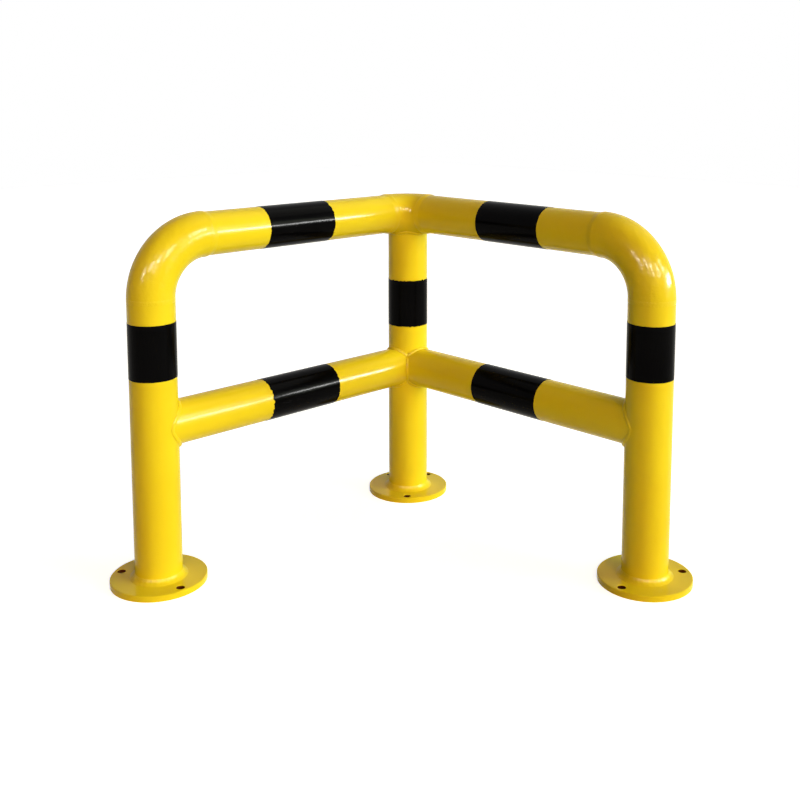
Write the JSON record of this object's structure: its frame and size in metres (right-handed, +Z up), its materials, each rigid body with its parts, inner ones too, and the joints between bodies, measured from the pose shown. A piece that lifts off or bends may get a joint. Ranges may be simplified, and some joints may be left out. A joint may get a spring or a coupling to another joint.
{
  "type": "corner guard rail",
  "caption": "Low L-shaped guard rail of welded tube, with top and mid rails on posts with round bolt-down base plates, that shields a corner from vehicles.",
  "frame": {"origin": "axis of the corner post at the floor, the underside of its base plate", "axes": "+Z up; the right arm runs along +X and the left arm along -Y"},
  "size_m": [0.717, 0.717, 0.6009],
  "materials": {
    "yellow_coat": "glossy yellow powder coat on steel tube and plate",
    "yellow_weld": "the same coat over weld beads, a little rougher",
    "black_band": "glossy black band film"
  },
  "bodies": {
    "root": {"post_left": "yellow_coat", "post_corner": "yellow_coat", "post_right": "yellow_coat", "closing_plate": "yellow_coat", "elbow_left": "yellow_coat", "elbow_corner": "yellow_coat", "elbow_right": "yellow_coat", "top_rail_left": "yellow_coat", "top_rail_right": "yellow_coat", "mid_rail_left": "yellow_coat", "mid_rail_right": "yellow_coat", "base_plate_left": "yellow_coat", "base_plate_corner": "yellow_coat", "base_plate_right": "yellow_coat", "foot_weld_left": "yellow_weld", "foot_weld_corner": "yellow_weld", "foot_weld_right": "yellow_weld", "bend_weld_left_post": "yellow_weld", "bend_weld_left_rail": "yellow_weld", "bend_weld_right_post": "yellow_weld", "bend_weld_right_rail": "yellow_weld", "corner_weld_left": "yellow_weld", "corner_weld_right": "yellow_weld", "crown_weld": "yellow_weld", "saddle_weld_left_post": "yellow_weld", "saddle_weld_right_post": "yellow_weld", "saddle_weld_corner_left": "yellow_weld", "saddle_weld_corner_right": "yellow_weld", "mitre_weld": "yellow_weld", "band_post_left": "black_band", "band_post_corner": "black_band", "band_post_right": "black_band", "band_top_left": "black_band", "band_top_right": "black_band", "band_mid_left": "black_band", "band_mid_right": "black_band"}
  },
  "joints": []
}
